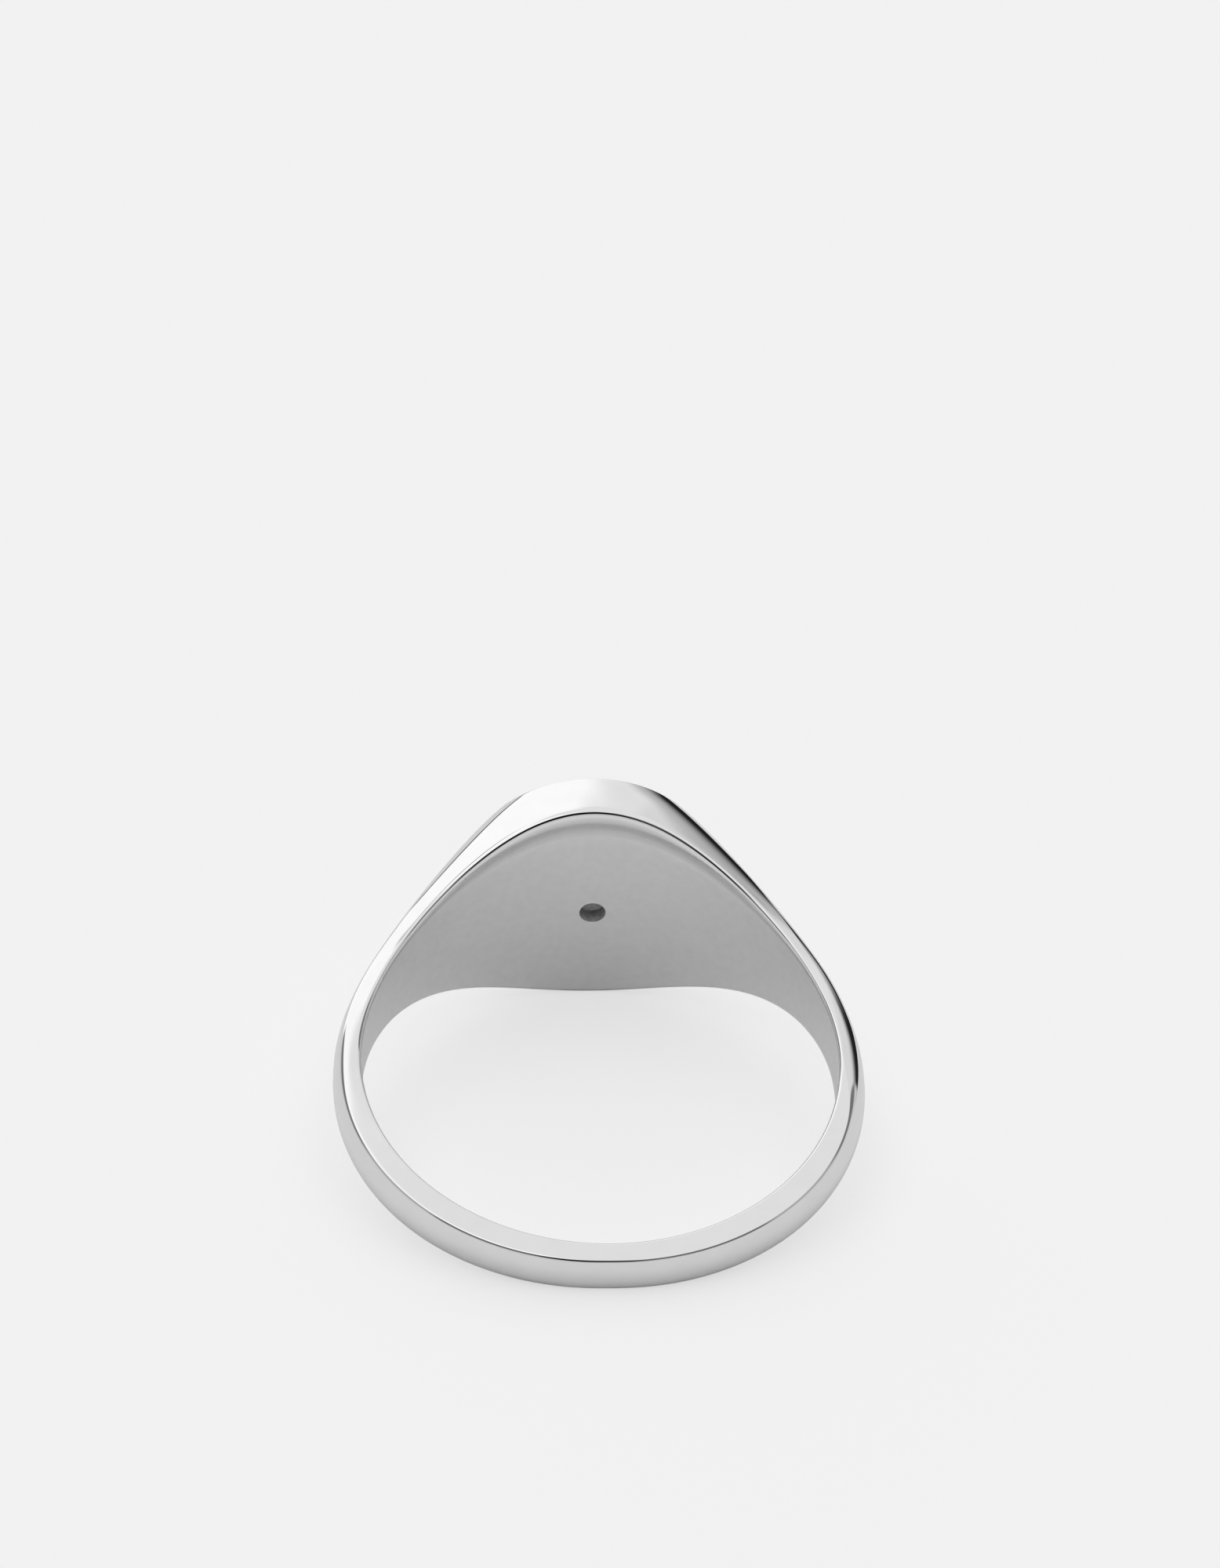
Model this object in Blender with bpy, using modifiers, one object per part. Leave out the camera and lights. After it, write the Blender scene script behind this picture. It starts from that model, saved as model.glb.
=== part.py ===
"""A signet ring with a round flat head, lying on its side as it does on a table.

The ring is drawn in its own frame, hung from one empty:
  local X  across the head, local Y  from the finger's axis out to the head,
  local Z  along the finger.
The empty then tips the ring about X until the head's lower edge and the back of the shank both
touch z = 0. Angles called "turn" run round the finger's axis, from 0 at the middle of the head to
180 degrees at the back of the shank.

Three pieces: the cast ring body, the flat stone let into its head, and the bed of cement under it.
"""
from math import atan, atan2, cos, exp, pi, radians, sin

import bmesh
import bpy
from mathutils import Vector

MM = 0.001

# The finger's hole and the head
BORE_RADIUS = 9.90 * MM
FACE_RADIUS = 5.20 * MM
FACE_HEIGHT = 12.50 * MM          # from the finger's axis to the flat face

# Half the ring's width at the bore, round the turn
SHANK_HALF_WIDTH = 0.91 * MM      # at the back
SHOULDER_GAIN = 0.70 * MM         # what the shank gains from the back to the front
HEAD_GAIN = 3.80 * MM             # what the head adds to that
HEAD_SPREAD = radians(40.5)       # how far round the turn the head's flare reaches

# The shank's thickness
SIDE_THICKNESS_FRONT = 0.80 * MM
SIDE_THICKNESS_BACK = 0.97 * MM
SIDE_THICKNESS_SWELL = 0.16 * MM  # extra halfway between the side and the back
CROWN_HEIGHT = 0.33 * MM          # the domed outside, above the side face
CROWN_LOSS = 0.08 * MM            # what the dome loses towards the back
EDGE_INSET = 0.04 * MM            # the outside is this much narrower than the bore side
SHOULDER_INSET = 0.70 * MM        # and this much more beside the head
INSET_END = radians(110)

# The softened edge between the bore and the sides
BORE_EDGE_SHANK = 0.10 * MM
BORE_EDGE_HEAD = 0.22 * MM
BORE_EDGE_SPREAD = radians(45)

# Where the shoulder leaves the head, and where it becomes plain shank
SHOULDER_START = radians(45)      # on the face's rim, from local X
SHANK_START = radians(64)         # turn
RIM_LEAN = 0.35                   # how much the shoulder's edge first follows the rim

# The seat, the stone and its bed
SEAT_RADIUS = 4.60 * MM
SEAT_DEPTH = 1.75 * MM
STONE_RADIUS = 4.50 * MM
STONE_THICKNESS = 1.45 * MM
STONE_CHAMFER = 0.12 * MM
CEMENT_RADIUS = 4.45 * MM
CEMENT_THICKNESS = 0.16 * MM
CEMENT_GAP = 0.07 * MM
VENT_RADIUS = 0.57 * MM
VENT_OFFSET = -0.25 * MM          # along the finger, from the middle of the head
CEMENT_HOLE_RADIUS = 1.10 * MM

# How finely the body is divided, in a quarter of it
RIM_ROWS = 8
SHOULDER_ROWS = 12
SHANK_ROWS = 24
BORE_COLUMNS = 4
BORE_EDGE_COLUMNS = 3
WALL_COLUMNS = 3
DOME_COLUMNS = 6
ROUND_SIDES = 64
VENT_SIDES = 24

SILVER = (0.86, 0.86, 0.85, 1.0)
BLACK_STONE = (0.02, 0.02, 0.022, 1.0)
GREY_CEMENT = (0.18, 0.18, 0.18, 1.0)


def clear_scene():
    for item in list(bpy.data.objects):
        bpy.data.objects.remove(item)


def new_collection(name):
    collection = bpy.data.collections.new(name)
    bpy.context.scene.collection.children.link(collection)
    return collection


def new_material(name, color, metallic, roughness):
    material = bpy.data.materials.new(name)
    material.use_nodes = True
    shader = material.node_tree.nodes["Principled BSDF"]
    shader.inputs["Base Color"].default_value = color
    shader.inputs["Metallic"].default_value = metallic
    shader.inputs["Roughness"].default_value = roughness
    return material


def clamp(value):
    return min(max(value, 0.0), 1.0)


def half_width(turn):
    """Half the ring's width at the bore."""
    flare = HEAD_GAIN * exp(-(turn / HEAD_SPREAD) ** 2)
    return SHANK_HALF_WIDTH + SHOULDER_GAIN * cos(turn / 2) ** 2 + flare


def bore_edge(turn):
    """Radius of the softened edge at the bore."""
    return BORE_EDGE_SHANK + BORE_EDGE_HEAD * exp(-(turn / BORE_EDGE_SPREAD) ** 2)


def side_thickness(turn):
    """Radial width of the shank's flat side."""
    towards_back = (1 - cos(turn)) / 2
    swell = sin(pi * clamp((turn - pi / 2) / (pi / 2)))
    growth = SIDE_THICKNESS_BACK - SIDE_THICKNESS_FRONT
    return SIDE_THICKNESS_FRONT + growth * towards_back + SIDE_THICKNESS_SWELL * swell


def shank_point(turn, across):
    """The domed outside of the shank: across is 0 on its crown and 1 on its edge."""
    inset = EDGE_INSET + SHOULDER_INSET * clamp(1 - turn / INSET_END) ** 2
    edge_z = half_width(turn) - inset
    crown = CROWN_HEIGHT - CROWN_LOSS * clamp((turn - pi / 2) / (pi / 2))
    share = sin(across * pi / 2)
    radius = BORE_RADIUS + side_thickness(turn) + crown * (1 - share ** 2)
    return Vector((radius * sin(turn), radius * cos(turn), edge_z * share))


def shoulder_point(along, across):
    """The shoulder, a smooth run from the face's rim (along 0) to the shank (along 1)."""
    rim_angle = across * SHOULDER_START
    start = Vector((FACE_RADIUS * cos(rim_angle), FACE_HEIGHT, FACE_RADIUS * sin(rim_angle)))
    end = shank_point(SHANK_START, across)
    step = 0.0001
    onward = shank_point(SHANK_START + step, across) - shank_point(SHANK_START - step, across)
    chord = end - start
    follow_rim = Vector((sin(rim_angle), 0, -cos(rim_angle)))
    lean = RIM_LEAN * across
    outset = (chord.normalized() * (1 - lean) + follow_rim * lean).normalized()
    reach = chord.length
    s = along
    return (
        start * (2 * s ** 3 - 3 * s ** 2 + 1)
        + outset * reach * (s ** 3 - 2 * s ** 2 + s)
        + end * (3 * s ** 2 - 2 * s ** 3)
        + onward.normalized() * reach * (s ** 3 - s ** 2)
    )


def polar(turn, radius, z):
    return Vector((radius * sin(turn), radius * cos(turn), z))


def side_row(edge_point):
    """One row over the bore, its softened edge and the side, out to a point on the outer edge."""
    turn = atan2(edge_point.x, edge_point.y)
    width = half_width(turn)
    soft = bore_edge(turn)
    row = []
    for i in range(BORE_COLUMNS):
        row.append(polar(turn, BORE_RADIUS, (width - soft) * i / BORE_COLUMNS))
    for i in range(BORE_EDGE_COLUMNS):
        angle = pi / 2 * i / BORE_EDGE_COLUMNS
        radius = BORE_RADIUS + soft * (1 - cos(angle))
        row.append(polar(turn, radius, width - soft + soft * sin(angle)))
    wall_start = polar(turn, BORE_RADIUS + soft, width)
    for i in range(WALL_COLUMNS + 1):
        row.append(wall_start.lerp(edge_point, i / WALL_COLUMNS))
    return row


def add_grid(mesh, rows):
    """A sheet of quads over rows of points."""
    grid = [[mesh.verts.new(point) for point in row] for row in rows]
    for first, second in zip(grid, grid[1:]):
        for i in range(len(first) - 1):
            mesh.faces.new((first[i], first[i + 1], second[i + 1], second[i]))


def body_mesh():
    """A quarter of the body, open at local X = 0 and Z = 0."""
    rim = []
    for i in range(RIM_ROWS + 1):
        angle = pi / 2 + (SHOULDER_START - pi / 2) * i / RIM_ROWS
        rim.append(Vector((FACE_RADIUS * cos(angle), FACE_HEIGHT, FACE_RADIUS * sin(angle))))
    rim[0].x = 0

    across = [1 - i / DOME_COLUMNS for i in range(DOME_COLUMNS + 1)]
    dome = []
    for i in range(SHOULDER_ROWS):
        dome.append([shoulder_point(i / SHOULDER_ROWS, v) for v in across])
    for i in range(SHANK_ROWS + 1):
        turn = SHANK_START + (pi - SHANK_START) * i / SHANK_ROWS
        dome.append([shank_point(turn, v) for v in across])
    for point in dome[-1]:
        point.x = 0

    sides = [side_row(point) for point in rim]
    sides += [side_row(row[0]) for row in dome[1:]]
    for row in (sides[0], sides[-1]):
        for point in row:
            point.x = 0

    mesh = bmesh.new()
    add_grid(mesh, sides)
    add_grid(mesh, dome)
    outline = [Vector((0, FACE_HEIGHT, 0))] + rim + dome[0][1:]
    mesh.faces.new([mesh.verts.new(point) for point in reversed(outline)])
    bmesh.ops.remove_doubles(mesh, verts=mesh.verts, dist=1e-7)
    data = bpy.data.meshes.new("ring_body")
    mesh.to_mesh(data)
    mesh.free()
    return data


def disc(name, radius, low, high, sides, z_offset=0.0):
    """A cylinder along local Y between two heights."""
    mesh = bmesh.new()
    bmesh.ops.create_cone(
        mesh, cap_ends=True, segments=sides, radius1=radius, radius2=radius, depth=high - low
    )
    data = bpy.data.meshes.new(name)
    mesh.to_mesh(data)
    mesh.free()
    item = bpy.data.objects.new(name, data)
    item.rotation_euler = (-pi / 2, 0, 0)
    item.location = (0, (low + high) / 2, z_offset)
    return item


def add_cutter(item, target, collection):
    item.hide_render = True
    item.display_type = "WIRE"
    item.parent = target.parent
    collection.objects.link(item)
    cut = target.modifiers.new(item.name, "BOOLEAN")
    cut.operation = "DIFFERENCE"
    cut.solver = "EXACT"
    cut.object = item


def finish_piece(item, ring, collection, material):
    item.parent = ring
    collection.objects.link(item)
    item.data.materials.append(material)
    item.data.shade_smooth()
    item.data.set_sharp_from_angle(angle=radians(35))


def build_ring_body(ring, parts, cutters):
    body = bpy.data.objects.new("ring_body", body_mesh())
    mirror = body.modifiers.new("quarters", "MIRROR")
    mirror.use_axis = (True, False, True)
    mirror.merge_threshold = 0.000001
    finish_piece(body, ring, parts, new_material("silver", SILVER, 1.0, 0.08))
    overshoot = 1.0 * MM
    seat_floor = FACE_HEIGHT - SEAT_DEPTH
    seat = disc("seat_cutter", SEAT_RADIUS, seat_floor, FACE_HEIGHT + overshoot, ROUND_SIDES)
    vent = disc(
        "vent_cutter", VENT_RADIUS, BORE_RADIUS - overshoot, seat_floor + SEAT_DEPTH / 2,
        VENT_SIDES, VENT_OFFSET,
    )
    add_cutter(seat, body, cutters)
    add_cutter(vent, body, cutters)
    return body


def build_stone(ring, parts):
    low = FACE_HEIGHT - STONE_THICKNESS
    stone = disc("stone_inlay", STONE_RADIUS, low, FACE_HEIGHT, ROUND_SIDES)
    bevel = stone.modifiers.new("ground_edge", "BEVEL")
    bevel.width = STONE_CHAMFER
    bevel.segments = 2
    bevel.limit_method = "ANGLE"
    finish_piece(stone, ring, parts, new_material("black_stone", BLACK_STONE, 0.0, 0.12))


def build_cement(ring, parts, cutters):
    low = FACE_HEIGHT - SEAT_DEPTH + CEMENT_GAP
    high = low + CEMENT_THICKNESS
    cement = disc("bedding_cement", CEMENT_RADIUS, low, high, ROUND_SIDES)
    finish_piece(cement, ring, parts, new_material("grey_cement", GREY_CEMENT, 0.0, 0.7))
    overshoot = CEMENT_THICKNESS
    hole = disc(
        "cement_hole_cutter", CEMENT_HOLE_RADIUS, low - overshoot, high + overshoot, VENT_SIDES
    )
    add_cutter(hole, cement, cutters)


def rest_on_table(ring, body):
    """Tips the ring until head and shank touch z = 0, then centres its box on the origin."""
    head_low = Vector((0, BORE_RADIUS + bore_edge(0), -half_width(0)))
    shank_low = shank_point(pi, 1)
    shank_low.z = -shank_low.z
    tilt = atan((shank_low.z - head_low.z) / (head_low.y - shank_low.y))
    ring.rotation_euler = (tilt, 0, 0)
    bpy.context.view_layer.update()
    graph = bpy.context.evaluated_depsgraph_get()
    solid = body.evaluated_get(graph)
    points = [solid.matrix_world @ vertex.co for vertex in solid.data.vertices]
    lowest = min(point.z for point in points)
    middle = (min(point.y for point in points) + max(point.y for point in points)) / 2
    ring.location = (0, -middle, -lowest)
    bpy.context.view_layer.update()


def main():
    clear_scene()
    parts = new_collection("signet_ring")
    cutters = new_collection("signet_ring_cutters")
    ring = bpy.data.objects.new("ring_frame", None)
    parts.objects.link(ring)
    body = build_ring_body(ring, parts, cutters)
    build_stone(ring, parts)
    build_cement(ring, parts, cutters)
    rest_on_table(ring, body)


main()
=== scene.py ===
"""The looks of the signet ring: a polished silver body, satin in the finger hole, with a dark stone
let into its head.

The ring is drawn in its own frame, in metres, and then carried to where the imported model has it:
  local X  across the head, local Y  from the finger's axis out to the head,
  local Z  along the finger.
Angles called "turn" run round the finger's axis, from 0 at the middle of the head to 180 degrees at
the back of the shank.
"""
from math import atan, atan2, cos, exp, pi, radians, sin, tau

import bmesh
import bpy
from mathutils import Euler, Matrix, Vector, noise


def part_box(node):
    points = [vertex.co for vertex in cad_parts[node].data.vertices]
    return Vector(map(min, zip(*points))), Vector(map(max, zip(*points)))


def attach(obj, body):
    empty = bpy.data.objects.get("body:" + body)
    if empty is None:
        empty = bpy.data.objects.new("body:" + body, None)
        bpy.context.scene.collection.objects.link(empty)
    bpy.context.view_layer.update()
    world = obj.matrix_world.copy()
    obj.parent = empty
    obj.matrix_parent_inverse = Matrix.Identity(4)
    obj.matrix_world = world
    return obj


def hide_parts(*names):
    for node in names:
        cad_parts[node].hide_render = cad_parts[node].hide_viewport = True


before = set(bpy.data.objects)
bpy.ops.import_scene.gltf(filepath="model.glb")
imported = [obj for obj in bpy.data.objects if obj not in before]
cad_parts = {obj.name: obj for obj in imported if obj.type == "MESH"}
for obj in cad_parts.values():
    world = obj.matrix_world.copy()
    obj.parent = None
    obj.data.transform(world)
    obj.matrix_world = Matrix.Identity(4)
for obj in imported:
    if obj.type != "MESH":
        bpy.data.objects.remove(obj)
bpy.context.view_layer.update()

MM = 0.001
MERGE_DISTANCE = 1e-7             # m, points closer than this are one point

# The finger's hole and the head
BORE_RADIUS = 9.90 * MM
FACE_RADIUS = 5.20 * MM
FACE_HEIGHT = 12.50 * MM          # from the finger's axis to the flat face

# Half the ring's width at the bore, round the turn
SHANK_HALF_WIDTH = 0.91 * MM      # at the back
SHOULDER_GAIN = 0.70 * MM         # what the shank gains from the back to the front
HEAD_GAIN = 3.80 * MM             # what the head adds to that
HEAD_SPREAD = radians(40.5)       # how far round the turn the head's flare reaches

# The shank's thickness
SIDE_THICKNESS_FRONT = 0.80 * MM
SIDE_THICKNESS_BACK = 0.91 * MM
SIDE_THICKNESS_SWELL = 0.16 * MM  # extra halfway between the side and the back
CROWN_HEIGHT = 0.33 * MM          # the domed outside, above the side face
CROWN_LOSS = 0.03 * MM            # what the dome loses towards the back
EDGE_WEAR = 0.30 * MM             # what wear took from the right side, most at EDGE_WEAR_TURN
EDGE_WEAR_TURN = radians(93)
EDGE_WEAR_SPREAD = radians(22)
CROWN_WEAR = 0.2                  # the share of that wear which reached the crown
EDGE_INSET = 0.04 * MM            # the outside is this much narrower than the bore side
SHOULDER_INSET = 0.70 * MM        # and this much more beside the head
INSET_END = radians(110)

# The softened edge between the bore and the sides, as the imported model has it
BORE_EDGE_SHANK = 0.10 * MM
BORE_EDGE_HEAD = 0.22 * MM
BORE_EDGE_SPREAD = radians(45)

# The same edge in the photo: the bore first flares gently, then rounds over to the side
FLARE_RISE = 0.26 * MM            # radially, at the middle of the head
FLARE_RISE_SHANK = 0.01 * MM
FLARE_LENGTH = 1.30 * MM          # along the finger
FLARE_LENGTH_SHANK = 0.12 * MM
FLARE_SPREAD = radians(40)
LOWER_FLARE = 0.10                # the lower edge's flare, as a share of the upper's
CORNER_SHANK = 0.13 * MM          # radius of the rounding
CORNER_HEAD = 0.20 * MM           # what the head adds to it
CORNER_WEAR = 0.12 * MM           # and what wear adds at the left, most at CORNER_WEAR_TURN
CORNER_WEAR_TURN = radians(85)
CORNER_WEAR_SPREAD = radians(14)
SATIN_FADE = (0.8, 0.3)           # the satin's share over the rounding, before it is all polish

# Where the shoulder leaves the head, and where it becomes plain shank
SHOULDER_START = radians(48)      # on the face's rim, from local X
SHANK_START = radians(63.5)       # turn
START_PULL = 0.60                 # how firmly the shoulder's edge first follows the rim
END_PULL = 0.75                   # and how firmly it runs into the shank
SMALL_TURN = 0.0001               # a step for finding which way the shank runs

# The side face's bulge (its slope at the bore), and the turns over which one changes to the next
BULGE_HEAD = 0.03
BULGE_SHOULDER = 0.23
BULGE_SHANK = 0.12
BULGE_SHOULDER_TURNS = radians(5), radians(17)
BULGE_SHANK_TURNS = radians(20), radians(62)
BULGE_END_TURNS = radians(92), radians(112)
BULGE_WORN = 0.18                 # what wear adds on the right, most at BULGE_WORN_TURN
BULGE_WORN_TURN = radians(88)
BULGE_WORN_SPREAD = radians(14)

# How far back from an outer edge its rounding starts, and the turns over which that changes
RIM_ROUND = 0.05 * MM             # at the middle of the head
CORNER_ROUND = 0.08 * MM          # where the rim turns into the shoulder
SHOULDER_ROUND = 0.34 * MM        # on the right, which is the more worn
WIDEST_ROUND = 0.42 * MM          # on the right, at the ring's widest
LEFT_ROUND = 0.12 * MM
BACK_ROUND = 0.10 * MM
CORNER_ROUND_TURNS = radians(4), radians(14)
SHOULDER_ROUND_TURNS = radians(20), radians(34)
WIDEST_ROUND_TURNS = radians(62), radians(86)
BACK_ROUND_TURNS = radians(88), radians(110)
ROUND_PULL = 0.55                 # how far towards the sharp corner a rounding's handles reach

# The seat, the stone and its bed
SEAT_RADIUS = 4.60 * MM
SEAT_DEPTH = 1.75 * MM
SEAT_SUPPORT = 0.10 * MM          # rows this close to the seat's corner keep it crisp
LIP_OVERHANG = 0.05 * MM          # how far the lip reaches in over the seat
LIP_DEPTH = 0.14 * MM
LIP_EASE_WIDTH = 0.05 * MM        # its upper edge is eased
LIP_EASE_DEPTH = 0.03 * MM
STONE_RADIUS = 4.50 * MM
STONE_THICKNESS = 1.45 * MM
STONE_CHAMFER = 0.12 * MM
STONE_EASE = 0.3                  # how far in the front chamfer's middle lies, as a share of it
STONE_MIDDLE = 0.02 * MM          # radius of the small flat that closes its middle
CEMENT_RADIUS = 4.39 * MM
CEMENT_THICKNESS = 0.16 * MM
CEMENT_GAP = 0.07 * MM
CEMENT_HOLE_RADIUS = 1.10 * MM
CEMENT_INNER_SLUMP = 0.05 * MM    # how far its edges slope, at the hole and outside
CEMENT_OUTER_SLUMP = 0.04 * MM
CEMENT_WOBBLE = 0.05 * MM         # how far it is from round
CEMENT_LUMPS = 3                  # a larger number gives more and smaller lumps
VENT_RADIUS = 0.57 * MM
VENT_START = 0.03 * MM            # the first drill mark's depth in the bore's wall
VENT_OVERRUN = 0.10 * MM          # the cut goes on this far into the seat
VENT_REACH = 1.0 * MM             # and this far into the bore
VENT_ASIDE = 0.08 * MM            # across the head, from its middle
VENT_OFFSET = -0.34 * MM          # along the finger
VENT_TIP_RADIUS = 0.28 * MM       # where the drill's tip broke through into the seat
VENT_TIP_HEIGHT = 0.17 * MM
DRILL_MARK = 0.02 * MM            # depth of the rings that the drill left in the vent
DRILL_MARKS = 8
VENT_SIDES = 72
STONE_SIDES = 128
CEMENT_SIDES = 96

# How finely the cage is divided, in a quarter of the body
RIM_ROWS = 12
SHOULDER_ROWS = 16
SHANK_ROWS = 28
BORE_COLUMNS = 4
FLARE_COLUMNS = 4
CORNER_COLUMNS = 4
EDGE_COLUMNS = 4                  # over an outer edge's rounding
DOME_COLUMNS = 7
WALL_SPLITS = (0.0, 0.05, 0.25, 0.5, 0.75, 0.95, 1.0)   # closer at both ends, to keep them crisp
DOME_SUPPORT = 0.97               # an extra row close to the rounding, for the same reason
SHOULDER_SUPPORT = 0.02           # and one close to the face's rim
HALVINGS = 30                     # how often a search halves its range
SMOOTHING = 2                     # levels of subdivision

# The camera, from the finger's axis at the middle of the ring
CAMERA_DISTANCE = 200.0 * MM
CAMERA_AZIMUTH = radians(-3.62)   # from -Y towards +X
CAMERA_ELEVATION = radians(34.97)
VIEW_AZIMUTH = radians(3.635)     # from +Y towards +X
VIEW_ELEVATION = radians(-31.487)
VIEW_ROLL = radians(1.826)
CAMERA_LENS = 110.13              # mm, for a 36 mm long side
CLIP_START = 0.005
CLIP_END = 5.0

# The floor. What concerns its paper's ends shows only in the ring's reflections
FLOOR_RADIUS = 1.2
FLOOR_SIDES = 96
FLOOR_COLOR = 0.80
REFLECTED_COLOR = 1.05            # the same floor as the ring's polish shows it
FLOOR_GLOW = 0.38                 # how much of the floor's brightness isn't dimmed by shadows
GLOW_LEVEL = 1.52
PAPER_RIGHT = 34 * MM             # where the paper ends at the right, on a slanting line
PAPER_SLANT = 0.34
PAPER_RIGHT_FADE = 1.12           # its end has faded out at this many times as far
PAPER_RIGHT_AZIMUTHS = 62, 56     # degrees, the end fades in between these
PAST_RIGHT = 0.02                 # the floor's colour past that end
PAPER_LEFT = -45 * MM
PAPER_LEFT_FADE = 1.2
PAPER_LEFT_AZIMUTHS = -50, -42
PAST_LEFT = 0.20

# How bright the parts of the studio are
SWEEP_LEFT = 1.04
SWEEP_MIDDLE = 0.80
SWEEP_RIGHT = 0.72
SWEEP_LOW = 0.48                  # low down at the right
NEAR_BLACK = 0.015
ROOM_BEHIND = 0.18                # beside the sweep
ROOM_BESIDE = 0.40                # beside the ring
ROOM_IN_FRONT = 0.14              # to both sides of the camera
ROOM_LOW = 0.58                   # near the floor
OVERHEAD_LEFT = 1.02
OVERHEAD_RIGHT = 0.79
HOUSING = 0.10                    # the camera's
LENS = 0.005
BACKGROUND = 0.888                # the pale ground behind the ring


def clamp(value):
    """The value, kept between 0 and 1."""
    return min(max(value, 0.0), 1.0)


def hump(turn, spread, middle=0.0):
    """A bell curve, 1 at the middle."""
    return exp(-((turn - middle) / spread) ** 2)


def half_width(turn):
    """Half the ring's width at the bore."""
    flare = HEAD_GAIN * hump(turn, HEAD_SPREAD)
    return SHANK_HALF_WIDTH + SHOULDER_GAIN * cos(turn / 2) ** 2 + flare


def bore_edge(turn):
    """Radius of the softened edge at the bore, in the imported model."""
    return BORE_EDGE_SHANK + BORE_EDGE_HEAD * hump(turn, BORE_EDGE_SPREAD)


def side_thickness(turn):
    """Radial width of the shank's flat side."""
    towards_back = (1 - cos(turn)) / 2
    swell = sin(pi * clamp((turn - pi / 2) / (pi / 2)))
    growth = SIDE_THICKNESS_BACK - SIDE_THICKNESS_FRONT
    return SIDE_THICKNESS_FRONT + growth * towards_back + SIDE_THICKNESS_SWELL * swell


def shank_point(turn, across, hand=1):
    """The domed outside of the shank: across is 0 on its crown and 1 on its edge. Hand is 1 on the
    ring's right half and -1 on its left, which are worn differently."""
    inset = EDGE_INSET + SHOULDER_INSET * clamp(1 - turn / INSET_END) ** 2
    edge_z = half_width(turn) - inset
    crown = CROWN_HEIGHT - CROWN_LOSS * clamp((turn - pi / 2) / (pi / 2))
    share = sin(across * pi / 2)
    wear = EDGE_WEAR if hand > 0 else 0.0
    reach = CROWN_WEAR + (1 - CROWN_WEAR) * share ** 2
    worn = wear * hump(turn, EDGE_WEAR_SPREAD, EDGE_WEAR_TURN) * reach
    radius = BORE_RADIUS + side_thickness(turn) + crown * (1 - share ** 2) - worn
    return Vector((radius * sin(turn), radius * cos(turn), edge_z * share))


def rim_point(angle, radius=FACE_RADIUS, height=FACE_HEIGHT):
    """A point on a circle round the face's middle, with its angle measured from local X."""
    return Vector((radius * cos(angle), height, radius * sin(angle)))


def shoulder_point(along, across, hand=1):
    """The shoulder, a smooth run from the face's rim (along 0) to the shank (along 1)."""
    rim_angle = across * SHOULDER_START
    start = rim_point(rim_angle)
    end = shank_point(SHANK_START, across, hand)
    beyond = shank_point(SHANK_START + SMALL_TURN, across, hand)
    onward = beyond - shank_point(SHANK_START - SMALL_TURN, across, hand)
    chord = end - start
    follow_rim = Vector((sin(rim_angle), 0, -cos(rim_angle)))
    outset = (chord.normalized() * (1 - across) + follow_rim * across).normalized()
    start_pull = chord.length * (1 + (START_PULL - 1) * across ** 2)
    end_pull = chord.length * (1 + (END_PULL - 1) * across ** 2)
    s = along
    return (
        start * (2 * s ** 3 - 3 * s ** 2 + 1)
        + outset * start_pull * (s ** 3 - 2 * s ** 2 + s)
        + end * (3 * s ** 2 - 2 * s ** 3)
        + onward.normalized() * end_pull * (s ** 3 - s ** 2)
    )


def polar(turn, radius, z):
    """A point at a turn and a radius from the finger's axis."""
    return Vector((radius * sin(turn), radius * cos(turn), z))


def across_at(curve, distance):
    """How far across a curve from its edge (across 1) lies the point this distance from the edge."""
    low, high = 0.0, 1.0
    for _ in range(HALVINGS):
        middle = (low + high) / 2
        if (curve(middle) - curve(1)).length > distance:
            low = middle
        else:
            high = middle
    return high


def ramp(value, low, high):
    """0 up to low and 1 from high, smoothly between them."""
    share = clamp((value - low) / (high - low))
    return share * share * (3 - 2 * share)


def edge_rounding(turn, hand):
    """How far back from the outer edge its rounding starts."""
    shoulder = SHOULDER_ROUND if hand > 0 else LEFT_ROUND
    widest = WIDEST_ROUND if hand > 0 else LEFT_ROUND
    size = RIM_ROUND + (CORNER_ROUND - RIM_ROUND) * ramp(turn, *CORNER_ROUND_TURNS)
    size += (shoulder - CORNER_ROUND) * ramp(turn, *SHOULDER_ROUND_TURNS)
    size += (widest - shoulder) * ramp(turn, *WIDEST_ROUND_TURNS)
    return size + (BACK_ROUND - widest) * ramp(turn, *BACK_ROUND_TURNS)


def side_bulge(turn, hand):
    """How strongly the side face bulges, by its slope at the bore."""
    grown = BULGE_HEAD + (BULGE_SHOULDER - BULGE_HEAD) * ramp(turn, *BULGE_SHOULDER_TURNS)
    grown += (BULGE_SHANK - BULGE_SHOULDER) * ramp(turn, *BULGE_SHANK_TURNS)
    if hand > 0:
        grown += BULGE_WORN * hump(turn, BULGE_WORN_SPREAD, BULGE_WORN_TURN)
    return grown * (1 - ramp(turn, *BULGE_END_TURNS))


def turn_of(point):
    """The turn at which a point lies."""
    return atan2(point.x, point.y)


def round_over(side_point, corner, dome_point):
    """Points over a rounded corner, from the side to the outside."""
    first = side_point.lerp(corner, ROUND_PULL)
    second = dome_point.lerp(corner, ROUND_PULL)
    points = []
    for i in range(EDGE_COLUMNS + 1):
        s = i / EDGE_COLUMNS
        points.append(
            side_point * (1 - s) ** 3 + first * 3 * s * (1 - s) ** 2
            + second * 3 * s ** 2 * (1 - s) + dome_point * s ** 3
        )
    return points


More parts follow.
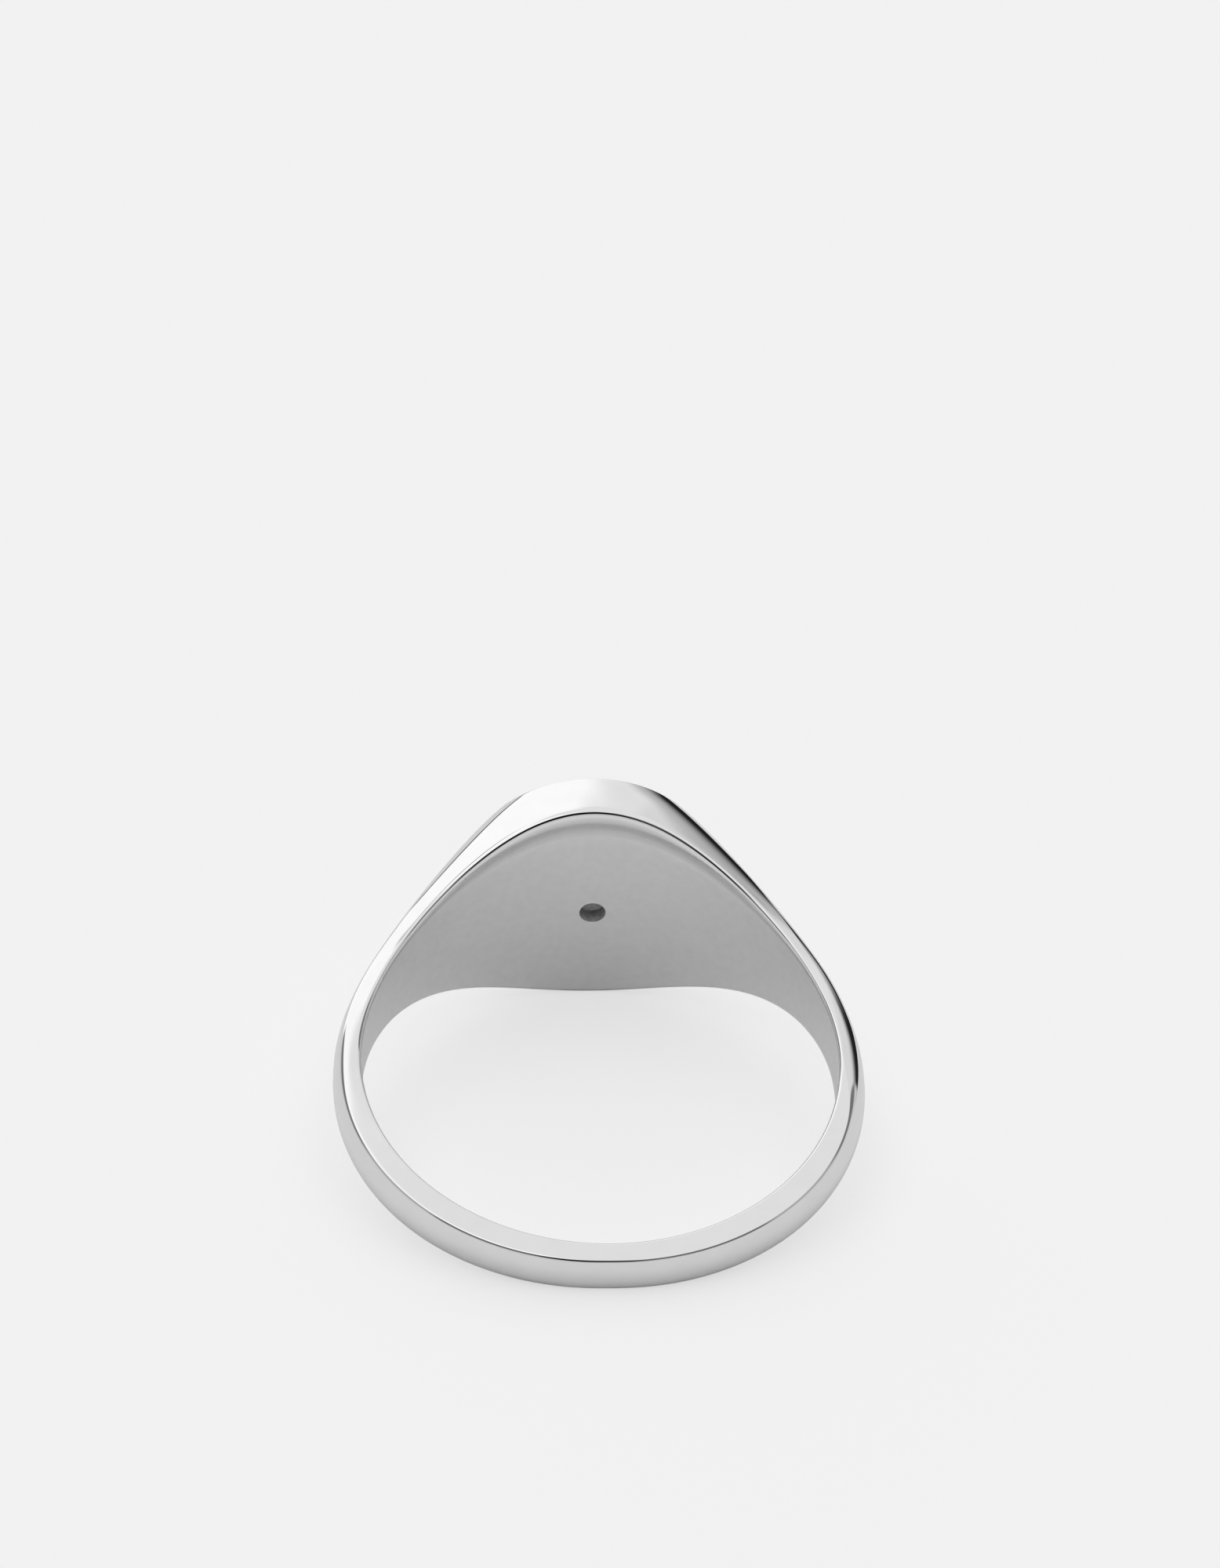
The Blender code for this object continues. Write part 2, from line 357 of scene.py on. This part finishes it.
def edge_rows(curve, corner, hand, level):
    """The side's row and the outside's row that meet in the middle of an outer edge's rounding."""
    rounding = edge_rounding(turn_of(corner), hand)
    held = across_at(curve, rounding)
    side = side_row(corner, rounding, hand, level)
    over = round_over(side[-1], corner, curve(held))
    half = EDGE_COLUMNS // 2
    dome = over[half:] + [curve(held * DOME_SUPPORT)]
    dome += [curve(held * (1 - i / DOME_COLUMNS)) for i in range(1, DOME_COLUMNS + 1)]
    return side + over[1:half + 1], dome


def side_row(edge_point, rounding, hand, level):
    """One row over the bore, its flare, the corner and the side, to where the edge's rounding starts."""
    turn = turn_of(edge_point)
    width = half_width(turn)
    share = hump(turn, FLARE_SPREAD)
    rise = FLARE_RISE_SHANK + (FLARE_RISE - FLARE_RISE_SHANK) * share
    length = FLARE_LENGTH_SHANK + (FLARE_LENGTH - FLARE_LENGTH_SHANK) * share
    if level < 0:
        rise *= LOWER_FLARE
        length *= LOWER_FLARE
    corner = CORNER_SHANK + CORNER_HEAD * share
    if hand < 0:
        corner += CORNER_WEAR * hump(turn, CORNER_WEAR_SPREAD, CORNER_WEAR_TURN)
    slope = atan(2 * rise / length)
    corner_z = width - corner * (1 - sin(slope))
    flare_z = corner_z - length
    row = []
    for i in range(BORE_COLUMNS):
        row.append(polar(turn, BORE_RADIUS, flare_z * i / BORE_COLUMNS))
    for i in range(FLARE_COLUMNS):
        part = i / FLARE_COLUMNS
        row.append(polar(turn, BORE_RADIUS + rise * part ** 2, flare_z + length * part))
    for i in range(CORNER_COLUMNS + 1):
        angle = slope + (pi / 2 - slope) * i / CORNER_COLUMNS
        radius = BORE_RADIUS + rise + corner * (cos(slope) - cos(angle))
        row.append(polar(turn, radius, corner_z + corner * (sin(angle) - sin(slope))))
    wall_start = row.pop()
    run = edge_point - wall_start
    held = 1 - rounding / run.length
    up = (Vector((0, 0, 1)) - run * run.z / run.length_squared).normalized()
    for split in WALL_SPLITS:
        part = held * split
        rise = side_bulge(turn, hand) * run.length * (part - part ** 3)
        row.append(wall_start + run * part + up * rise)
    return row


def add_grid(mesh, rows, satin=()):
    """A sheet of quads over rows of points, with the share of satin finish in its first columns."""
    finish = mesh.verts.layers.float["satin"]
    grid = [[mesh.verts.new(point) for point in row] for row in rows]
    for row in grid:
        for vertex, share in zip(row, satin):
            vertex[finish] = share
    for first, second in zip(grid, grid[1:]):
        for i in range(len(first) - 1):
            corners = []
            for vertex in (first[i], first[i + 1], second[i + 1], second[i]):
                if all((vertex.co - other.co).length > MERGE_DISTANCE for other in corners):
                    corners.append(vertex)
            if len(corners) > 2:
                mesh.faces.new(corners)


def seat_profile():
    """The stone's seat from its lip to its middle, as (radius, height) points."""
    floor_height = FACE_HEIGHT - SEAT_DEPTH
    lip_radius = SEAT_RADIUS - LIP_OVERHANG
    return [
        (lip_radius + LIP_EASE_WIDTH, FACE_HEIGHT),
        (lip_radius, FACE_HEIGHT - LIP_EASE_DEPTH),
        (lip_radius, FACE_HEIGHT - LIP_DEPTH),
        (SEAT_RADIUS, FACE_HEIGHT - LIP_DEPTH - LIP_OVERHANG),
        (SEAT_RADIUS, floor_height + SEAT_SUPPORT),
        (SEAT_RADIUS, floor_height),
        (SEAT_RADIUS - SEAT_SUPPORT, floor_height),
        (SEAT_RADIUS / 2, floor_height),
        (0.0, floor_height),
    ]


def quarter(hand, level):
    """Rows of points over a quarter of the body, for its side, its outside and its face with the seat.
    Level is 1 for the upper half and -1 for the lower."""
    rim_angles = [pi / 2 + (SHOULDER_START - pi / 2) * i / RIM_ROWS for i in range(RIM_ROWS + 1)]
    seat = seat_profile()
    sides, dome, face = [], [], []
    for angle in rim_angles:
        corner = rim_point(angle)
        rounding = edge_rounding(turn_of(corner), hand)
        side = side_row(corner, rounding, hand, level)
        over = round_over(side[-1], corner, rim_point(angle, FACE_RADIUS - rounding))
        half = EDGE_COLUMNS // 2
        sides.append(side + over[1:half + 1])
        face.append(over[half:] + [rim_point(angle, radius, height) for radius, height in seat])

    for along in [0.0, SHOULDER_SUPPORT] + [i / SHOULDER_ROWS for i in range(1, SHOULDER_ROWS)]:
        def curve(across):
            return shoulder_point(along, across, hand)
        side, outside = edge_rows(curve, curve(1), hand, level)
        if along == 0.0:
            outside[0] = sides[-1][-1]
        else:
            sides.append(side)
        dome.append(outside)
    for i in range(SHANK_ROWS + 1):
        turn = SHANK_START + (pi - SHANK_START) * i / SHANK_ROWS

        def curve(across):
            return shank_point(turn, across, hand)
        side, outside = edge_rows(curve, curve(1), hand, level)
        sides.append(side)
        dome.append(outside)

    for point in dome[0][1:]:
        angle = atan2(point.z, point.x)
        inner = rim_point(angle, FACE_RADIUS - CORNER_ROUND)
        over = [point.lerp(inner, i / 2) for i in range(3)]
        face.append(over + [rim_point(angle, radius, height) for radius, height in seat])
    for row in (sides[0], sides[-1], dome[-1], face[0]):
        for point in row:
            point.x = 0
    for point in face[-1]:
        point.z = 0
    return sides, dome, face


def body_cage():
    """The body's cage, in four quarters."""
    mesh = bmesh.new()
    mesh.verts.layers.float.new("satin")
    satin = [1.0] * (BORE_COLUMNS + 2) + list(SATIN_FADE)
    for hand, level in ((1, 1), (-1, 1), (1, -1), (-1, -1)):
        sides, dome, face = quarter(hand, level)
        for rows, shares in ((sides, satin), (dome, []), (face, [])):
            placed = [[Vector((hand * p.x, p.y, level * p.z)) for p in row] for row in rows]
            add_grid(mesh, placed, shares)
    bmesh.ops.remove_doubles(mesh, verts=mesh.verts, dist=MERGE_DISTANCE)
    bmesh.ops.recalc_face_normals(mesh, faces=mesh.faces)
    data = bpy.data.meshes.new("ring_silver")
    mesh.to_mesh(data)
    mesh.free()
    return data


def turned(name, profile, sides, middle=0.0, wobble=None):
    """A closed mesh turned round an axis along local Y, from (radius, height) points. Middle is the
    axis's place along the finger, and wobble gives what to add to the radius at an angle."""
    mesh = bmesh.new()
    rings = []
    for radius, height in profile:
        ring = []
        for i in range(sides):
            angle = tau * i / sides
            shift = wobble(angle, radius) if wobble else 0.0
            ring.append(mesh.verts.new(Vector((
                (radius + shift) * cos(angle), height, middle + (radius + shift) * sin(angle)
            ))))
        rings.append(ring)
    for first, second in zip(rings, rings[1:]):
        for i in range(sides):
            j = (i + 1) % sides
            mesh.faces.new((first[i], first[j], second[j], second[i]))
    if profile[0] != profile[-1]:
        mesh.faces.new(list(reversed(rings[0])))
        mesh.faces.new(rings[-1])
    else:
        bmesh.ops.remove_doubles(mesh, verts=mesh.verts, dist=MERGE_DISTANCE)
    bmesh.ops.recalc_face_normals(mesh, faces=mesh.faces)
    data = bpy.data.meshes.new(name)
    mesh.to_mesh(data)
    mesh.free()
    item = bpy.data.objects.new(name, data)
    bpy.context.scene.collection.objects.link(item)
    return item


# Materials

NOISE_LOW = 0.3                   # where most of a noise's values lie
NOISE_HIGH = 0.7


def new_material(name):
    """A new material, its node tree and its shader."""
    material = bpy.data.materials.new(name)
    material.use_nodes = True
    return material, material.node_tree, material.node_tree.nodes["Principled BSDF"]


def math_node(tree, operation, a, b=None):
    """The result of one operation on numbers or sockets."""
    node = tree.nodes.new("ShaderNodeMath")
    node.operation = operation
    for i, value in enumerate((a, b)):
        if value is None:
            continue
        if isinstance(value, (int, float)):
            node.inputs[i].default_value = value
        else:
            tree.links.new(value, node.inputs[i])
    return node.outputs["Value"]


def ease(tree, value, start, end):
    """0 before start and 1 after end, smoothly between them."""
    node = tree.nodes.new("ShaderNodeMapRange")
    node.interpolation_type = "SMOOTHSTEP"
    low, high = min(start, end), max(start, end)
    node.inputs["From Min"].default_value = low
    node.inputs["From Max"].default_value = high
    node.inputs["To Min"].default_value = 0.0 if start < end else 1.0
    node.inputs["To Max"].default_value = 1.0 if start < end else 0.0
    tree.links.new(value, node.inputs["Value"])
    return node.outputs["Result"]


def blend_to(tree, value, target, share):
    """Takes value towards target by share."""
    node = tree.nodes.new("ShaderNodeMix")
    node.data_type = "FLOAT"
    tree.links.new(share, node.inputs["Factor"])
    for name, item in (("A", value), ("B", target)):
        if isinstance(item, (int, float)):
            node.inputs[name].default_value = item
        else:
            tree.links.new(item, node.inputs[name])
    return node.outputs["Result"]


def add_noise(tree, scale, detail=3.0, stretch=(1, 1, 1)):
    """Noise over the object's own coordinates. Scale is in features to the metre."""
    place = tree.nodes.new("ShaderNodeTexCoord")
    mapping = tree.nodes.new("ShaderNodeMapping")
    mapping.inputs["Scale"].default_value = stretch
    texture = tree.nodes.new("ShaderNodeTexNoise")
    texture.inputs["Scale"].default_value = scale
    texture.inputs["Detail"].default_value = detail
    tree.links.new(place.outputs["Object"], mapping.inputs["Vector"])
    tree.links.new(mapping.outputs["Vector"], texture.inputs["Vector"])
    return texture.outputs["Fac"]


def spread(tree, value, low, high):
    """Takes a noise to a range of values."""
    node = tree.nodes.new("ShaderNodeMapRange")
    node.inputs["From Min"].default_value = NOISE_LOW
    node.inputs["From Max"].default_value = NOISE_HIGH
    node.inputs["To Min"].default_value = low
    node.inputs["To Max"].default_value = high
    tree.links.new(value, node.inputs["Value"])
    return node.outputs["Result"]


def add_bump(tree, shader, height, distance, strength=None, before=None):
    """Bumps on the shader, on top of the ones before."""
    node = tree.nodes.new("ShaderNodeBump")
    node.inputs["Distance"].default_value = distance
    node.inputs["Strength"].default_value = 1.0
    if strength:
        tree.links.new(strength, node.inputs["Strength"])
    tree.links.new(height, node.inputs["Height"])
    if before:
        tree.links.new(before, node.inputs["Normal"])
    tree.links.new(node.outputs["Normal"], shader.inputs["Normal"])
    return node.outputs["Normal"]


def tint(tree, shader, value, dark, light):
    """Colours the shader from dark to light over a noise."""
    node = tree.nodes.new("ShaderNodeValToRGB")
    node.color_ramp.elements[0].position = NOISE_LOW
    node.color_ramp.elements[0].color = dark
    node.color_ramp.elements[1].position = NOISE_HIGH
    node.color_ramp.elements[1].color = light
    tree.links.new(value, node.inputs["Fac"])
    tree.links.new(node.outputs["Color"], shader.inputs["Base Color"])


def satin_share(tree):
    """The share of satin finish, which the body's points hold."""
    share = tree.nodes.new("ShaderNodeAttribute")
    share.attribute_name = "satin"
    return share.outputs["Fac"]


def finish_mix(tree, polished, satin):
    """A value that goes from the polished finish's to the satin finish's over the body."""
    return blend_to(tree, polished, satin, satin_share(tree))


def silver():
    """Polished outside and satin in the finger's hole."""
    material, tree, shader = new_material("silver")
    shader.inputs["Metallic"].default_value = 1.0
    haze = add_noise(tree, 900, 4)
    mottle = add_noise(tree, 2600, 5)
    grain = add_noise(tree, 14000, 2)
    bright = finish_mix(tree, spread(tree, haze, 0.90, 0.93), spread(tree, mottle, 0.84, 0.88))
    # painted shade: the base colour is darkened in a band where the satin meets the polish, along the
    # bore's edge
    share = satin_share(tree)
    painted_dark_band = math_node(tree, "MULTIPLY", share, math_node(tree, "SUBTRACT", 1.0, share))
    bright = blend_to(tree, bright, 0.15, math_node(tree, "MULTIPLY", painted_dark_band, 1.6))
    tree.links.new(bright, shader.inputs["Base Color"])
    rough = finish_mix(tree, spread(tree, haze, 0.035, 0.06), spread(tree, mottle, 0.35, 0.39))
    tree.links.new(rough, shader.inputs["Roughness"])
    ripple = add_bump(tree, shader, add_noise(tree, 450, 1), 0.002 * MM)
    add_bump(tree, shader, grain, 0.003 * MM, finish_mix(tree, 0.0, 1.0), ripple)
    return material


def drilled_silver():
    """Rough, and coloured dark as painted shade inside the hole, so it isn't all metal."""
    material, tree, shader = new_material("drilled_silver")
    shader.inputs["Metallic"].default_value = 0.4
    painted_shade_noise = add_noise(tree, 6000, 4)
    # painted shade: the hole's walls are coloured dark for the shade inside it
    tint(tree, shader, painted_shade_noise, (0.38, 0.38, 0.38, 1), (0.64, 0.64, 0.64, 1))
    tree.links.new(spread(tree, painted_shade_noise, 0.40, 0.55), shader.inputs["Roughness"])
    return material


def polished_stone():
    """Black, with a faint cloudiness."""
    material, tree, shader = new_material("polished_stone")
    cloud = add_noise(tree, 700, 5)
    tint(tree, shader, cloud, (0.010, 0.010, 0.011, 1), (0.020, 0.020, 0.022, 1))
    tree.links.new(spread(tree, cloud, 0.04, 0.07), shader.inputs["Roughness"])
    shader.inputs["IOR"].default_value = 1.54
    return material


def sawn_stone():
    """The same stone, dull and a little paler, with fine saw lines."""
    material, tree, shader = new_material("sawn_stone")
    grain = add_noise(tree, 9000, 3, (1, 1, 6))
    tint(tree, shader, grain, (0.018, 0.018, 0.019, 1), (0.045, 0.045, 0.047, 1))
    shader.inputs["Roughness"].default_value = 0.55
    add_bump(tree, shader, grain, 0.01 * MM)
    return material


def grey_cement():
    """Rough and grey."""
    material, tree, shader = new_material("grey_cement")
    grain = add_noise(tree, 7000, 6)
    tint(tree, shader, grain, (0.12, 0.12, 0.12, 1), (0.24, 0.24, 0.23, 1))
    shader.inputs["Roughness"].default_value = 0.8
    add_bump(tree, shader, grain, 0.02 * MM)
    return material


# Pieces

SHARP_ANGLE = radians(40)         # edges that bend more than this are drawn sharp


def ring_place():
    """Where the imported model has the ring, to 0.05 degrees: tipped about X until the head and the
    back of the shank touch z = 0."""
    head_low = Vector((0, BORE_RADIUS + bore_edge(0), -half_width(0)))
    shank_low = shank_point(pi, 1)
    tilt = atan((-shank_low.z - head_low.z) / (head_low.y - shank_low.y))
    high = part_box("ring_body")[1]
    y = high.y - FACE_HEIGHT * cos(tilt) - FACE_RADIUS * sin(tilt)
    z = high.z - FACE_HEIGHT * sin(tilt) - FACE_RADIUS * cos(tilt)
    return Matrix.Translation((0, y, z)) @ Matrix.Rotation(tilt, 4, "X")


def settle(item, place, node):
    """Makes the modifiers real, carries the mesh to its place and puts it on the frame."""
    graph = bpy.context.evaluated_depsgraph_get()
    data = bpy.data.meshes.new_from_object(item.evaluated_get(graph))
    item.modifiers.clear()
    item.data = data
    data.transform(place)
    data.shade_smooth()
    data.set_sharp_from_angle(angle=SHARP_ANGLE)
    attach(item, "root")
    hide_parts(node)


def vent_cutter(material):
    """The drill's path, with a fine ring at each turn of the drill."""
    seat = FACE_HEIGHT - SEAT_DEPTH
    profile = [(VENT_RADIUS, BORE_RADIUS - VENT_REACH)]
    start = BORE_RADIUS + VENT_START
    pitch = (seat - VENT_TIP_HEIGHT - start) / DRILL_MARKS
    for i in range(DRILL_MARKS):
        profile.append((VENT_RADIUS, start + pitch * i))
        profile.append((VENT_RADIUS - DRILL_MARK, start + pitch * (i + 0.5)))
    profile.append((VENT_RADIUS, seat - VENT_TIP_HEIGHT))
    profile.append((VENT_TIP_RADIUS, seat))
    profile.append((VENT_TIP_RADIUS, seat + VENT_OVERRUN))
    cutter = turned("vent_cutter", profile, VENT_SIDES, VENT_OFFSET)
    cutter.data.transform(Matrix.Translation((VENT_ASIDE, 0, 0)))
    cutter.data.materials.append(material)
    return cutter


def hold_satin(data):
    """Gives the vent's mouth the satin of the bore, which the cut leaves without a value."""
    satin = data.attributes["satin"].data
    for face in data.polygons:
        if face.material_index:
            for corner in face.vertices:
                satin[corner].value = 1.0


def build_body(place):
    """The smoothed cage with the vent cut through it."""
    body = bpy.data.objects.new("ring_silver", body_cage())
    bpy.context.scene.collection.objects.link(body)
    body.data.materials.append(silver())
    smooth = body.modifiers.new("smooth", "SUBSURF")
    smooth.levels = SMOOTHING
    smooth.render_levels = SMOOTHING
    cutter = vent_cutter(drilled_silver())
    cut = body.modifiers.new("vent", "BOOLEAN")
    cut.operation = "DIFFERENCE"
    cut.solver = "EXACT"
    cut.material_mode = "TRANSFER"
    cut.object = cutter
    settle(body, place, "ring_body")
    bpy.data.objects.remove(cutter)
    hold_satin(body.data)


def build_stone(place):
    """The stone, polished on its face and its chamfer and left as sawn behind."""
    back = FACE_HEIGHT - STONE_THICKNESS
    chamfer = STONE_CHAMFER
    eased = chamfer * STONE_EASE
    profile = [
        (STONE_MIDDLE, back),
        (STONE_RADIUS / 2, back),
        (STONE_RADIUS - chamfer, back),
        (STONE_RADIUS, back + chamfer),
        (STONE_RADIUS, FACE_HEIGHT - chamfer),
        (STONE_RADIUS - eased, FACE_HEIGHT - eased),
        (STONE_RADIUS - chamfer, FACE_HEIGHT),
        (STONE_RADIUS / 2, FACE_HEIGHT),
        (STONE_MIDDLE, FACE_HEIGHT),
    ]
    stone = turned("stone_dark", profile, STONE_SIDES)
    stone.data.materials.append(polished_stone())
    stone.data.materials.append(sawn_stone())
    for face in stone.data.polygons:
        face.material_index = 1 if face.center.y < FACE_HEIGHT - 2 * chamfer else 0
    settle(stone, place, "stone_inlay")


def build_cement(place):
    """The bed under the stone: a flat ring with an uneven outline, open round the vent."""
    low = FACE_HEIGHT - SEAT_DEPTH + CEMENT_GAP
    high = low + CEMENT_THICKNESS
    middle = (low + high) / 2
    inner = CEMENT_HOLE_RADIUS
    outer = CEMENT_RADIUS
    between = (inner + outer) / 2
    profile = [
        (inner, middle),
        (inner + CEMENT_INNER_SLUMP, low),
        (between, low),
        (outer - CEMENT_OUTER_SLUMP, low),
        (outer, middle),
        (outer - CEMENT_OUTER_SLUMP, high),
        (between, high),
        (inner + CEMENT_INNER_SLUMP, high),
        (inner, middle),
    ]

    def wobble(angle, radius):
        spot = Vector((CEMENT_LUMPS * cos(angle), CEMENT_LUMPS * sin(angle), radius / MM))
        return CEMENT_WOBBLE * noise.noise(spot)
    cement = turned("cement_bed", profile, CEMENT_SIDES, 0.0, wobble)
    cement.data.materials.append(grey_cement())
    settle(cement, place, "bedding_cement")


# The studio

def within(tree, azimuth, start, end):
    """0 before the azimuth start and 1 after end, in degrees."""
    return ease(tree, azimuth, radians(start), radians(end))


def within_height(tree, z, start, end):
    """0 before the elevation start and 1 after end, in degrees."""
    return ease(tree, z, sin(radians(start)), sin(radians(end)))


def build_floor():
    """A plain pale floor of paper, with ends that only the ring's reflections show."""
    bpy.ops.mesh.primitive_circle_add(
        vertices=FLOOR_SIDES, radius=FLOOR_RADIUS, fill_type="NGON"
    )
    floor = bpy.context.object
    floor.name = "floor"
    material = bpy.data.materials.new("pale_floor")
    material.use_nodes = True
    tree = material.node_tree
    tree.nodes.clear()
    out = tree.nodes.new("ShaderNodeOutputMaterial")
    path = tree.nodes.new("ShaderNodeLightPath")
    place = tree.nodes.new("ShaderNodeTexCoord")
    split = tree.nodes.new("ShaderNodeSeparateXYZ")
    tree.links.new(place.outputs["Object"], split.inputs["Vector"])
    # seen in the ring, the paper is brighter, and it ends to either side, with dark past its ends
    azimuth = math_node(tree, "ARCTAN2", split.outputs["X"], split.outputs["Y"])
    slanting = math_node(tree, "MULTIPLY", split.outputs["Y"], PAPER_SLANT)
    slanting = math_node(tree, "ADD", split.outputs["X"], slanting)
    right_end = math_node(
        tree, "MULTIPLY",
        ease(tree, slanting, PAPER_RIGHT, PAPER_RIGHT * PAPER_RIGHT_FADE),
        within(tree, azimuth, *PAPER_RIGHT_AZIMUTHS),
    )
    left_end = math_node(
        tree, "MULTIPLY",
        ease(tree, split.outputs["X"], PAPER_LEFT, PAPER_LEFT * PAPER_LEFT_FADE),
        within(tree, azimuth, *PAPER_LEFT_AZIMUTHS),
    )
    reflected = blend_to(tree, REFLECTED_COLOR, PAST_RIGHT, right_end)
    reflected = blend_to(tree, reflected, PAST_LEFT, left_end)
    color = blend_to(tree, FLOOR_COLOR, reflected, path.outputs["Is Glossy Ray"])
    paper = tree.nodes.new("ShaderNodeBsdfDiffuse")
    tree.links.new(color, paper.inputs["Color"])
    glow = tree.nodes.new("ShaderNodeEmission")
    glow.inputs["Strength"].default_value = GLOW_LEVEL
    mix = tree.nodes.new("ShaderNodeMixShader")
    share = math_node(tree, "MULTIPLY", path.outputs["Is Camera Ray"], FLOOR_GLOW)
    tree.links.new(share, mix.inputs["Fac"])
    tree.links.new(paper.outputs["BSDF"], mix.inputs[1])
    tree.links.new(glow.outputs["Emission"], mix.inputs[2])
    tree.links.new(mix.outputs["Shader"], out.inputs["Surface"])
    floor.data.materials.append(material)


def build_studio():
    """The light, all of it from the world: a white sweep behind the ring that is brightest at the left
    and has something black at its right end, a dim room to both sides, a light overhead and the dark
    camera. Azimuths here are from +Y towards +X."""
    world = bpy.data.worlds.new("studio")
    bpy.context.scene.world = world
    world.use_nodes = True
    tree = world.node_tree
    tree.nodes.clear()
    place = tree.nodes.new("ShaderNodeTexCoord")
    split = tree.nodes.new("ShaderNodeSeparateXYZ")
    tree.links.new(place.outputs["Generated"], split.inputs["Vector"])
    x, y, z = split.outputs
    azimuth = math_node(tree, "ARCTAN2", x, y)

    # the white sweep behind, dimmer to the right and there the more so low down
    light = blend_to(tree, SWEEP_LEFT, SWEEP_MIDDLE, within(tree, azimuth, -6, 22))
    light = blend_to(tree, light, SWEEP_RIGHT, within(tree, azimuth, 24, 34))
    right = within(tree, azimuth, 10, 24)
    low = within_height(tree, z, 32, 15)
    light = blend_to(tree, light, SWEEP_LOW, math_node(tree, "MULTIPLY", right, low))
    lowest = within_height(tree, z, 17, -2)
    light = blend_to(tree, light, NEAR_BLACK, math_node(tree, "MULTIPLY", right, lowest))
    # something black low down towards its right end, then the dim room on both sides
    right = within(tree, azimuth, 38, 44)
    low = within_height(tree, z, 26, 9)
    light = blend_to(tree, light, NEAR_BLACK, math_node(tree, "MULTIPLY", right, low))
    aside = math_node(tree, "ABSOLUTE", azimuth)
    room = blend_to(tree, ROOM_BEHIND, ROOM_BESIDE, within(tree, aside, 74, 88))
    room = blend_to(tree, room, ROOM_IN_FRONT, within(tree, aside, 114, 124))
    room = blend_to(tree, room, ROOM_LOW, within_height(tree, z, 22, 14))
    right_room = within(tree, azimuth, 52.5, 54.5)
    left_room = within(tree, azimuth, -42, -46)
    light = blend_to(tree, light, room, math_node(tree, "MAXIMUM", right_room, left_room))
    # the light overhead, brightest to the left
    overhead = blend_to(tree, OVERHEAD_LEFT, OVERHEAD_RIGHT, ease(tree, x, -0.17, 0.0))
    overhead = blend_to(tree, overhead, OVERHEAD_RIGHT, within_height(tree, z, 65, 73))
    light = blend_to(tree, light, overhead, within_height(tree, z, 43, 54))
    # the camera itself
    away = tree.nodes.new("ShaderNodeVectorMath")
    away.operation = "DOT_PRODUCT"
    level = cos(CAMERA_ELEVATION)
    away.inputs[1].default_value = (
        sin(CAMERA_AZIMUTH) * level, -cos(CAMERA_AZIMUTH) * level, sin(CAMERA_ELEVATION)
    )
    tree.links.new(place.outputs["Generated"], away.inputs[0])
    housing = ease(tree, away.outputs["Value"], cos(radians(18)), cos(radians(15)))
    light = blend_to(tree, light, HOUSING, housing)
    lens = ease(tree, away.outputs["Value"], cos(radians(13.5)), cos(radians(11.5)))
    light = blend_to(tree, light, LENS, lens)

    path = tree.nodes.new("ShaderNodeLightPath")
    light = blend_to(tree, light, BACKGROUND, path.outputs["Is Camera Ray"])
    background = tree.nodes.new("ShaderNodeBackground")
    out = tree.nodes.new("ShaderNodeOutputWorld")
    tree.links.new(light, background.inputs["Color"])
    tree.links.new(background.outputs["Background"], out.inputs["Surface"])


def build_camera(place):
    """The photo's view."""
    data = bpy.data.cameras.new("camera")
    data.lens = CAMERA_LENS
    data.clip_start = CLIP_START
    data.clip_end = CLIP_END
    camera = bpy.data.objects.new("camera", data)
    bpy.context.scene.collection.objects.link(camera)
    level = cos(CAMERA_ELEVATION)
    camera.location = place.translation + CAMERA_DISTANCE * Vector((
        sin(CAMERA_AZIMUTH) * level, -cos(CAMERA_AZIMUTH) * level, sin(CAMERA_ELEVATION)
    ))
    turn = Euler((pi / 2 + VIEW_ELEVATION, 0, -VIEW_AZIMUTH)).to_matrix()
    roll = Matrix.Rotation(VIEW_ROLL, 3, "Z")
    camera.rotation_euler = (turn @ roll).to_euler()
    bpy.context.scene.camera = camera


place = ring_place()
build_body(place)
build_stone(place)
build_cement(place)
build_floor()
build_studio()
build_camera(place)
bpy.context.scene.view_settings.view_transform = "Standard"
